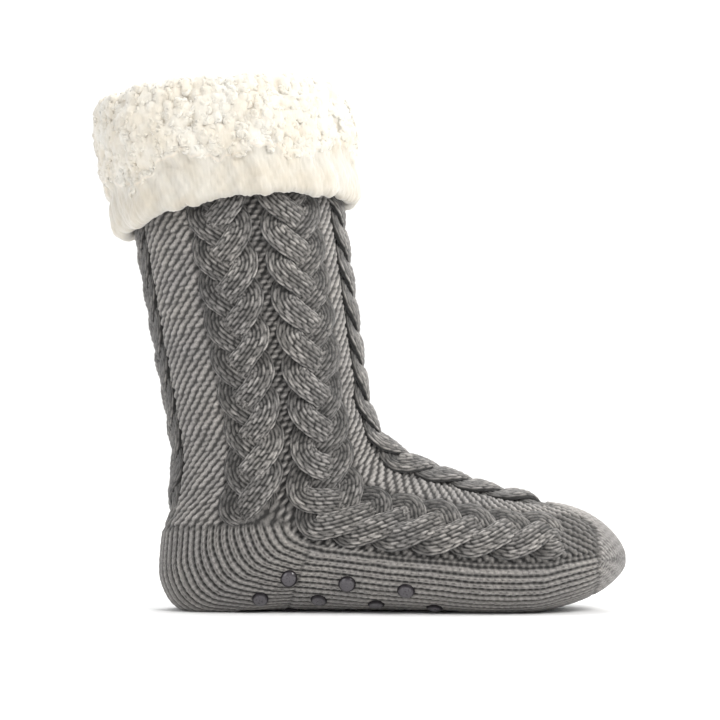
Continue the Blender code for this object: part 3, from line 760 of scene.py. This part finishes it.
def cell_bumps(a, b, size, seed, period):
    """Rounded bumps in jittered cells over two lengths; the first length closes after a period."""
    around = max(3, round(period / size))
    a = a / period * around
    b = b / size
    height = np.zeros(np.broadcast(a, b).shape)
    base_a, base_b = np.floor(a), np.floor(b)
    for i in (-1.0, 0.0, 1.0):
        for j in (-1.0, 0.0, 1.0):
            cell_a, cell_b = base_a + i, base_b + j
            key = cell_a % around
            at_a = cell_a + 0.15 + 0.70 * chance_at(key, cell_b, seed)
            at_b = cell_b + 0.15 + 0.70 * chance_at(key, cell_b, seed + 1)
            radius = 0.55 + 0.30 * chance_at(key, cell_b, seed + 2)
            far = ((a - at_a) ** 2 + (b - at_b) ** 2) / radius**2
            height = np.maximum(height, (1.0 - far) * (0.6 + 0.4 * chance_at(key, cell_b, seed + 3)))
    return np.sqrt(np.clip(height, 0.0, 1.0))


def band_edge(turns):
    """Where the curly pile ends above the brushed band, as a share down the cuff."""
    wave = 0.060 * np.sin(math.tau * 8.0 * turns + 0.8) + 0.030 * np.sin(math.tau * 5.0 * turns + 2.0)
    ragged = 0.016 * np.sin(math.tau * 31.0 * turns) + 0.012 * np.sin(math.tau * 53.0 * turns + 1.0)
    return 0.625 + wave + ragged


def cuff_rings(turns):
    """Rings of the cuff's smooth form, one for each point of its section."""
    hem = hem_ways(turns)
    edge, out, _, _ = sock.read(turns, np.zeros(len(turns)))
    below, _, _, _ = sock.read(turns, np.full(len(turns), 0.01))
    up = unit(edge - below)
    crown = 0.5 * (CUFF_LOFT - WALL - CUFF_LINING)
    reach = 0.45 * (CUFF_LOFT + WALL + CUFF_LINING)
    waves = 1.0 + 0.045 * np.sin(math.tau * 6.0 * turns + 0.4) + 0.030 * np.sin(math.tau * 11.0 * turns)
    rings = []
    for down, share in CUFF_OUTSIDE:
        base, normal, _, _ = sock.read(turns, down * hem)
        rings.append(base + normal * (share * CUFF_LOFT * waves)[:, None])
    for share in CUFF_OVER:
        rise = CUFF_TOP * math.sqrt(1.0 - share**2)
        rings.append(edge + out * (crown + share * reach) + up * rise)
    for down, share in CUFF_INSIDE:
        ways = np.full(len(turns), down * CUFF_TURN_IN / sock.last.length)
        base, normal, _, _ = sock.read(turns, ways)
        rings.append(base - normal * (WALL + share * CUFF_LINING))
    return np.array(rings)


def through(rings, spacing):
    """Rings read closely along a smooth curve through the given ones."""
    run = summed(np.linalg.norm(np.diff(rings, axis=0), axis=2).mean(axis=1))
    count = int(run[-1] / spacing)
    at = np.linspace(0.0, run[-1], count + 1)
    slopes = np.gradient(rings, run, axis=0)
    i = np.clip(np.searchsorted(run, at) - 1, 0, len(run) - 2)
    step = (run[i + 1] - run[i])[:, None, None]
    t = ((at - run[i]) / (run[i + 1] - run[i]))[:, None, None]
    return curve(rings, slopes, i, t, step), at, run


def grid_normals(points):
    """Outward normals of a closed band of rings whose last column repeats the first."""
    along = np.gradient(points, axis=0)
    wide = np.concatenate([points[:, -2:-1], points, points[:, 1:2]], axis=1)
    return unit(np.cross(wide[:, 2:] - wide[:, :-2], along))


def fleece_form():
    """The cuff's smooth form, read closely: its run, how curly it is, and how far past the band's edge."""
    turns = np.linspace(0.0, 1.0, CUFF_COLUMNS + 1)
    points, at, run = through(cuff_rings(turns), CUFF_ROW)
    points[:, -1] = points[:, 0]
    normals = -grid_normals(points)
    hem, crown = run[HEM_POINT], run[CROWN_POINT]
    down_share = 1.0 - (at - hem) / (crown - hem)
    past_edge = down_share[:, None] - band_edge(turns)[None, :]
    curly = np.interp(at, run[CROWN_POINT:], CUFF_CURLY)[:, None]
    curly = np.where(at[:, None] < crown, smooth(0.018, -0.018, past_edge), curly)
    curly = np.where(at[:, None] < hem, 0.0, curly)
    return points, normals, at, curly, turns, past_edge


def pile_lumps(round_, run):
    """Large lumps and small nubs of the curly pile, 0 to 1."""
    lumps = cell_bumps(round_, run, LUMP_SIZE, 41, CUFF_ROUND)
    return lumps, cell_bumps(round_, run, NUB_SIZE, 5, CUFF_ROUND)


def make_cuff(finish):
    """The turned-out fleece: curly pile above, a brushed band below a wavy edge, rolled at its hem."""
    points, normals, at, curly, turns, past_edge = fleece_form()
    round_, run = np.meshgrid(turns * CUFF_ROUND, at)
    lumps, nubs = pile_lumps(round_, run)
    crimps = cell_bumps(round_, run, CRIMP_SIZE, 9, CUFF_ROUND)
    brushed = 0.5 + 0.5 * np.sin(round_ * 2900.0 + 3.0 * wander(round_, run, 3.0))
    clumps = wander(round_ * 0.9, run * 0.25, 7.0)
    shown = smooth(0.0, 0.008, run)
    edge = bell(past_edge, 0.040) * (curly < 0.999)
    fringe = wander(round_ * 3.2, run * 1.5, 11.0)
    height = curly * (nubs * NUB_HEIGHT + crimps * CRIMP_HEIGHT - 0.0010)
    height += (1.0 - curly) * (0.00025 * brushed + 0.0010 * clumps + 0.0006 * fringe)
    height += 0.0014 * edge * nubs
    height += LUMP_HEIGHT * (lumps - 0.6) * (0.45 + 0.55 * curly)
    points = points + normals * (height * shown)[..., None]
    points[:, -1] = points[:, 0]
    # Painted shade: the band darker where its nap lies low, the pile darker in the hollows between its
    # nubs and crimps
    band_shade = 0.10 + 0.05 * brushed + 0.05 * clumps + 0.04 * fringe
    shade = curly * (0.42 + 0.34 * nubs + 0.20 * crimps) + (1.0 - curly) * band_shade
    # Painted shade under the hem, where the cuff rolls in
    shade = np.clip(shade * (0.35 + 0.65 * shown), 0.0, 1.0)
    stitches = np.stack([round_, run], axis=-1)
    return laid_grid("cuff_fleece", points[:, ::-1], stitches[:, ::-1], shade[:, ::-1], finish)


def curl_faces():
    """Faces of a short closed tube, ring after ring, ending in two tips."""
    rings, sides = TUFT_RINGS, TUFT_SIDES
    faces = []
    for i in range(rings - 1):
        for j in range(sides):
            k = (j + 1) % sides
            faces.append((i * sides + j, i * sides + k, (i + 1) * sides + k))
            faces.append((i * sides + j, (i + 1) * sides + k, (i + 1) * sides + j))
    first, last = rings * sides, rings * sides + 1
    for j in range(sides):
        k = (j + 1) % sides
        faces.append((first, k, j))
        faces.append((last, (rings - 1) * sides + j, (rings - 1) * sides + k))
    return faces


def curl_points(places, normals, asides, chance, lengths):
    """Points of curls that bend over in an arc, one tube each."""
    rings, sides, thick = TUFT_RINGS, TUFT_SIDES, TUFT_THICKNESS
    count = len(places)
    ahead = np.cross(normals, asides)
    turn = chance.uniform(0.0, math.tau, count)[:, None]
    run = asides * np.cos(turn) + ahead * np.sin(turn)
    swing = asides * -np.sin(turn) + ahead * np.cos(turn)
    bend = chance.uniform(2.4, 4.6, count)[:, None]
    bend = bend * np.where(chance.uniform(size=count) < 0.5, -1.0, 1.0)[:, None]
    rise = chance.uniform(0.05, 0.28, count)[:, None]
    radius = (lengths / np.abs(bend[:, 0]))[:, None]
    points = np.zeros((count, rings * sides + 2, 3))
    middles = []
    for i in range(rings):
        angle = bend * (i / (rings - 1) - 0.5)
        across = radius * (np.cos(angle) - 0.4)
        along = radius * np.sin(angle)
        lift = rise * radius * math.sin(math.pi * i / (rings - 1)) + thick * 0.2
        middles.append(places + run * along + swing * across + normals * lift)
    middles = np.array(middles)
    tangents = unit(np.gradient(middles, axis=0))
    for i in range(rings):
        first = unit(np.cross(tangents[i], normals))
        second = np.cross(tangents[i], first)
        size = thick * (0.55 + 0.45 * math.sin(math.pi * (i + 0.5) / rings))
        for j in range(sides):
            angle = math.tau * j / sides
            spot = middles[i] + size * (first * math.cos(angle) + second * math.sin(angle))
            points[:, i * sides + j] = spot
    points[:, rings * sides] = middles[0] - tangents[0] * thick * 0.6
    points[:, rings * sides + 1] = middles[-1] + tangents[-1] * thick * 0.6
    return points


def make_curls(finish):
    """Tufts half sunk in the cuff's pile, and along the wavy edge of its band."""
    points, normals, at, curly, turns, past_edge = fleece_form()
    chance = np.random.default_rng(23)
    weight = curly * smooth(0.0, 0.012, at - at[0])[:, None]
    weight = weight + 1.6 * bell(past_edge + 0.015, 0.035)
    weight[:, -1] = 0.0
    chosen = chance.choice(weight.size, TUFT_COUNT, replace=False, p=(weight / weight.sum()).ravel())
    i, j = np.unravel_index(chosen, weight.shape)
    lumps, nubs = pile_lumps(turns[j] * CUFF_ROUND, at[i])
    sunk = LUMP_HEIGHT * (lumps - 0.6) + NUB_HEIGHT * nubs - TUFT_SINK
    places, outward = points[i, j] + normals[i, j] * sunk[:, None], normals[i, j]
    asides = unit(points[i, np.minimum(j + 1, len(turns) - 1)] - points[i, j])
    lengths = chance.uniform(*TUFT_LENGTHS, TUFT_COUNT)
    shapes = curl_points(places, outward, asides, chance, lengths)
    shade = 0.55 + 0.45 * chance.uniform(size=(TUFT_COUNT, 1)) * np.ones((1, shapes.shape[1]))
    return copies("cuff_curls", shapes, curl_faces(), shade, finish)


def make_lining(finish):
    """Short pile inside the leg and foot, below the part that the cuff turns in."""
    start = 0.72 * CUFF_TURN_IN / sock.last.length
    ways = rows_between(start, 0.955, 0.0027, 0.0034)
    ways = np.append(ways, 0.958)
    turns = np.linspace(0.0, 1.0, 105)
    grid_turns, grid_ways = np.meshgrid(turns, ways)
    points, normals, down, _ = sock.read(grid_turns, grid_ways)
    nubs = cell_bumps(grid_turns * LINING_ROUND, down, LINING_NUB, 31, LINING_ROUND)
    inward = WALL + 0.0006 + 0.0022 * nubs
    points = points - normals * inward[..., None]
    points[:, -1] = points[:, 0]
    points[-1] = points[-1].mean(axis=0)
    stitches = np.stack([grid_turns * LINING_ROUND, down], axis=-1)
    # Painted shade: darker between the lining's nubs
    shade = 0.35 + 0.65 * nubs
    return laid_grid("lining_pile", points[:, ::-1], stitches[:, ::-1], shade[:, ::-1], finish)


# Grip dots

# Turns of the columns of dots, and the dots' places in every other column, in shares of the foot's length
DOT_TURNS = (0.308, 0.372, 0.440, 0.500, 0.560, 0.628, 0.692)
DOT_PLACES = ((0.285, 0.405, 0.525), (0.225, 0.345, 0.465, 0.585))


def make_dot(number, turn, place, finish):
    """One drop of silicone: a flattened ball, its lower half sunk in the stitches."""
    way = sock.way_at(turn, 0, place * FOOT_LENGTH)
    point, normal, _, _ = sock.read(np.array([turn]), np.array([way]))
    point, normal = point[0], normal[0]
    sphere = {"segments": 24, "ring_count": 14, "radius": 1.0}
    dot = added(f"dot_{number:02d}", bpy.ops.mesh.primitive_uv_sphere_add, **sphere)
    mesh = dot.data
    ball = points_of(mesh).astype(float)
    chance = np.random.default_rng(100 + number)
    swell = 1.0 + 0.035 * np.sin(2.0 * np.arctan2(ball[:, 1], ball[:, 0]) + chance.uniform(0.0, 6.0))
    flat = np.sqrt(ball[:, 0] ** 2 + ball[:, 1] ** 2)
    fuller = np.where(flat > 1e-6, flat**0.75 / np.maximum(flat, 1e-6), 1.0)
    side = np.cross(normal, (1.0, 0.0, 0.0))
    side /= np.linalg.norm(side)
    ahead = np.cross(side, normal)
    radius = 0.5 * DOT_DIAMETER
    rise = DOT_HEIGHT + GAP + DOT_SIDE_RISE * smooth(-1.0, -0.4, normal[2])
    x = ball[:, 0] * fuller * swell * radius
    y = ball[:, 1] * fuller * swell * radius
    z = ball[:, 2] * np.where(ball[:, 2] > 0.0, rise, DOT_DEPTH)
    points = point + ahead * x[:, None] + side * y[:, None] + normal * z[:, None]
    points[:, 2] = np.maximum(points[:, 2], 0.0)
    set_points(mesh, points)
    # Painted shade on the drop's rim, lighter towards its crown
    dress(mesh, smooth(0.96, 0.66, flat * fuller), finish)
    mesh.update()
    return dot


# Finishes

# Colour of the painted shade between the stitches
WOOL_PAINTED_SHADE = (0.009, 0.008, 0.007)
# The band's colour from its painted shade, where the nap lies low, to where it stands up
BAND_PAINTED_SHADE, BAND_LIGHT = (0.44, 0.415, 0.36), (0.56, 0.53, 0.47)


class Finish:
    """A material and short ways to add nodes to it."""

    def __init__(self, name, roughness, sheen=0.0, sheen_roughness=0.5):
        self.material = bpy.data.materials.new(name)
        self.material.use_nodes = True
        self.tree = self.material.node_tree
        self.shader = self.tree.nodes["Principled BSDF"]
        self.shader.inputs["Roughness"].default_value = roughness
        self.shader.inputs["Sheen Weight"].default_value = sheen
        self.shader.inputs["Sheen Roughness"].default_value = sheen_roughness
        self.object_at = self.add("ShaderNodeTexCoord").outputs["Object"]

    def add(self, kind, **values):
        node = self.tree.nodes.new(kind)
        for key, value in values.items():
            setattr(node, key, value)
        return node

    def link(self, source, target):
        self.tree.links.new(source, target)

    def feed(self, socket, source):
        self.link(source, self.shader.inputs[socket])

    def noise(self, scale, detail=3.0, roughness=0.55, at=None):
        node = self.add("ShaderNodeTexNoise")
        node.inputs["Scale"].default_value = scale
        node.inputs["Detail"].default_value = detail
        node.inputs["Roughness"].default_value = roughness
        self.link(at or self.object_at, node.inputs["Vector"])
        return node.outputs["Fac"]

    def ramp(self, value, *stops):
        node = self.add("ShaderNodeValToRGB")
        elements = node.color_ramp.elements
        while len(elements) < len(stops):
            elements.new(0.5)
        for element, (place, colour) in zip(elements, stops):
            element.position = place
            element.color = (*colour, 1.0)
        self.link(value, node.inputs["Fac"])
        return node.outputs["Color"]

    def times(self, first, second, share=1.0):
        """One colour times another."""
        node = self.add("ShaderNodeMix", data_type="RGBA", blend_type="MULTIPLY")
        node.inputs["Factor"].default_value = share
        self.link(first, node.inputs[6])
        self.link(second, node.inputs[7])
        return node.outputs[2]

    def shade(self):
        return self.add("ShaderNodeAttribute", attribute_name="shade").outputs["Fac"]

    def stretched(self, x, y):
        """The piece's own UV map, stretched for fibres that run along the yarn."""
        node = self.add("ShaderNodeMapping")
        node.inputs["Scale"].default_value = (x, y, 1.0)
        self.link(self.add("ShaderNodeUVMap", uv_map="UVMap").outputs["UV"], node.inputs["Vector"])
        return node.outputs["Vector"]

    def bump(self, height, distance, strength, under=None):
        node = self.add("ShaderNodeBump")
        node.inputs["Distance"].default_value = distance
        node.inputs["Strength"].default_value = strength
        self.link(height, node.inputs["Height"])
        if under is not None:
            self.link(under, node.inputs["Normal"])
        return node.outputs["Normal"]


def grey(value):
    return (value, value, value)


def knit_finish(name, light, fibre):
    """Heather wool, painted dark between the stitches as shade and light on their crests, flecked, with
    fine fibres.
    """
    finish = Finish(name, 0.94, sheen=0.22, sheen_roughness=0.6)
    middle = tuple(0.42 * a + 0.58 * b for a, b in zip(light, WOOL_PAINTED_SHADE))
    # From painted shade between the stitches to the yarn's colour on its crests
    body = finish.ramp(finish.shade(), (0.08, WOOL_PAINTED_SHADE), (0.48, middle), (0.88, light))
    stops = ((0.30, (0.62, 0.61, 0.60)), (0.55, grey(1.0)), (0.74, (1.32, 1.30, 1.27)))
    body = finish.times(body, finish.ramp(finish.noise(1500.0, 2.0), *stops), 0.85)
    patches = finish.ramp(finish.noise(42.0, 2.0), (0.35, (0.90, 0.90, 0.91)), (0.65, (1.06, 1.05, 1.03)))
    finish.feed("Base Color", finish.times(body, patches))
    fibres = finish.noise(1.0, 3.0, 0.6, finish.stretched(*fibre))
    fuzz = finish.bump(finish.noise(2600.0, 3.0), 0.00030, 0.8)
    finish.feed("Normal", finish.bump(fibres, 0.00045, 0.9, fuzz))
    return finish.material


def fleece_finish(name, light, dark):
    """Cream pile: warm painted shade in its hollows, nearly white on its curls."""
    finish = Finish(name, 0.97, sheen=0.60, sheen_roughness=0.55)
    middle = tuple(0.35 * a + 0.65 * b for a, b in zip(dark, light))
    # Band from painted shade to light, then pile from the painted shade of its hollows to its curls
    stops = ((0.00, BAND_PAINTED_SHADE), (0.20, BAND_LIGHT), (0.32, dark), (0.60, middle), (0.90, light))
    body = finish.ramp(finish.shade(), *stops)
    patches = finish.ramp(finish.noise(70.0, 3.0), (0.35, (0.97, 0.93, 0.87)), (0.62, (1.02, 1.02, 1.02)))
    finish.feed("Base Color", finish.times(body, patches))
    nap = finish.bump(finish.noise(1.0, 2.0, 0.6, finish.stretched(900.0, 140.0)), 0.00040, 0.7)
    fuzz = finish.bump(finish.noise(1900.0, 3.0), 0.00022, 0.7, nap)
    finish.feed("Normal", finish.bump(finish.noise(620.0, 3.0), 0.00035, 0.5, fuzz))
    return finish.material


def silicone_finish():
    """Soft grey-violet silicone with a dull shine and dust in its surface."""
    finish = Finish("grip_silicone_look", 0.28)
    # Painted shade on the rim and painted light on the crown; coat and shine fall away towards the rim
    # with the same value
    rim, body_colour, crown = (0.013, 0.011, 0.013), (0.022, 0.018, 0.022), (0.046, 0.040, 0.047)
    body = finish.ramp(finish.shade(), (0.10, rim), (0.55, body_colour), (0.95, crown))
    dust = finish.ramp(finish.noise(420.0, 3.0), (0.30, grey(0.75)), (0.70, grey(1.15)))
    finish.feed("Base Color", finish.times(body, dust))
    gloss = finish.ramp(finish.shade(), (0.1, grey(0.1)), (0.5, grey(0.9)))
    finish.feed("Coat Weight", gloss)
    shine = finish.ramp(finish.shade(), (0.2, grey(0.05)), (0.9, grey(0.3)))
    finish.feed("Specular IOR Level", shine)
    finish.shader.inputs["Coat Roughness"].default_value = 0.09
    rough = finish.ramp(finish.noise(900.0, 2.0), (0.3, grey(0.22)), (0.7, grey(0.42)))
    finish.feed("Roughness", rough)
    finish.feed("Normal", finish.bump(finish.noise(700.0, 2.0), 0.00012, 0.5))
    return finish.material


# Camera, floor and light


def add_camera():
    place = (0.0, -CAMERA_DISTANCE, CAMERA_HEIGHT)
    camera = added("Camera", bpy.ops.object.camera_add, location=place)
    tilt = math.atan2(AIM_HEIGHT - CAMERA_HEIGHT, CAMERA_DISTANCE)
    camera.rotation_euler = (math.pi / 2.0 + tilt, 0.0, 0.0)
    camera.data.sensor_width = 36.0
    camera.data.lens = 36.0 * math.hypot(CAMERA_DISTANCE, AIM_HEIGHT - CAMERA_HEIGHT) / VIEW_SPAN
    camera.data.clip_start = 0.01
    camera.data.clip_end = 50.0
    bpy.context.scene.camera = camera


def add_light(name, location, target, size, power, colour):
    light = added(name, bpy.ops.object.light_add, type="AREA", location=location)
    light.data.shape = "DISK"
    light.data.size = size
    light.data.energy = power
    light.data.color = colour
    away = np.array(target) - np.array(location)
    yaw = math.atan2(away[1], away[0]) - math.pi / 2.0
    pitch = math.atan2(away[2], math.hypot(away[0], away[1]))
    light.rotation_euler = (math.pi / 2.0 + pitch, 0.0, yaw)


def add_floor():
    """A pale sheet that runs back and turns up behind the sock in a wide curve."""
    divisions = {"x_subdivisions": 2, "y_subdivisions": 48}
    floor = added("floor", bpy.ops.mesh.primitive_grid_add, size=2.0, **divisions)
    rise_from, bend = 1.6, 0.9
    for vertex in floor.data.vertices:
        along = -3.0 + (vertex.co.y + 1.0) / 2.0 * 7.5
        vertex.co.x *= 4.0
        over = max(0.0, along - rise_from)
        angle = min(over / bend, math.pi / 2.0)
        vertex.co.y = min(along, rise_from) + bend * math.sin(angle)
        vertex.co.z = bend * (1.0 - math.cos(angle)) + max(0.0, over - bend * math.pi / 2.0)
    floor.data.shade_smooth()
    finish = Finish("floor_paper", 0.9)
    grain = finish.ramp(finish.noise(6.0, 2.0), (0.3, grey(0.88)), (0.7, grey(0.90)))
    finish.feed("Base Color", grain)
    floor.data.materials.append(finish.material)


def add_world():
    world = bpy.data.worlds.new("studio")
    world.use_nodes = True
    shade = world.node_tree.nodes["Background"]
    shade.inputs["Color"].default_value = (1.0, 1.0, 1.0, 1.0)
    shade.inputs["Strength"].default_value = 0.62
    bpy.context.scene.world = world


add_camera()
add_world()
add_floor()
add_light("key", (0.9, -1.1, 1.2), (0.0, 0.0, 0.12), 0.7, 20.0, (1.0, 0.99, 0.97))
add_light("front", (1.6, -0.30, 0.9), (0.02, 0.0, 0.10), 0.8, 11.0, (1.0, 1.0, 0.99))
add_light("fill", (-1.3, -1.2, 0.7), (0.0, 0.0, 0.12), 1.2, 8.0, (0.97, 0.98, 1.0))
add_light("rim", (0.4, 1.2, 1.1), (0.0, 0.0, 0.14), 0.8, 12.0, (1.0, 1.0, 1.0))
add_light("paper", (0.0, 0.4, 2.2), (0.0, 1.2, 0.0), 2.0, 30.0, (1.0, 1.0, 1.0))
bpy.context.scene.view_settings.view_transform = "Standard"

_, high_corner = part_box("knit_upper")
sock = Surface(Last(), high_corner[0] - FOOT_LENGTH)

ground_wool = knit_finish("grey_knit_ground", (0.335, 0.319, 0.303), (500.0, 900.0))
strand_wool = knit_finish("grey_knit_strands", (0.372, 0.354, 0.336), (1500.0, 320.0))
pile = fleece_finish("cream_fleece_pile", (0.620, 0.595, 0.535), (0.62, 0.565, 0.485))
curl_pile = fleece_finish("cream_fleece_curls", (0.630, 0.608, 0.552), (0.63, 0.590, 0.520))
silicone = silicone_finish()

knit_pieces = make_knit(ground_wool) + make_plaits(strand_wool)
for piece in knit_pieces:
    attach(piece, "root")
    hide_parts("knit_upper")

lining = make_lining(pile)
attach(lining, "root")

for piece in (make_cuff(pile), make_curls(curl_pile)):
    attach(piece, "root")
    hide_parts("fleece_cuff")

dot_number = 0
for column, dot_turn in enumerate(DOT_TURNS):
    for dot_place in DOT_PLACES[column % 2]:
        dot_number += 1
        dot = make_dot(dot_number, dot_turn, dot_place, silicone)
        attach(dot, "root")
        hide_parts(f"grip_dot_{dot_number:02d}")
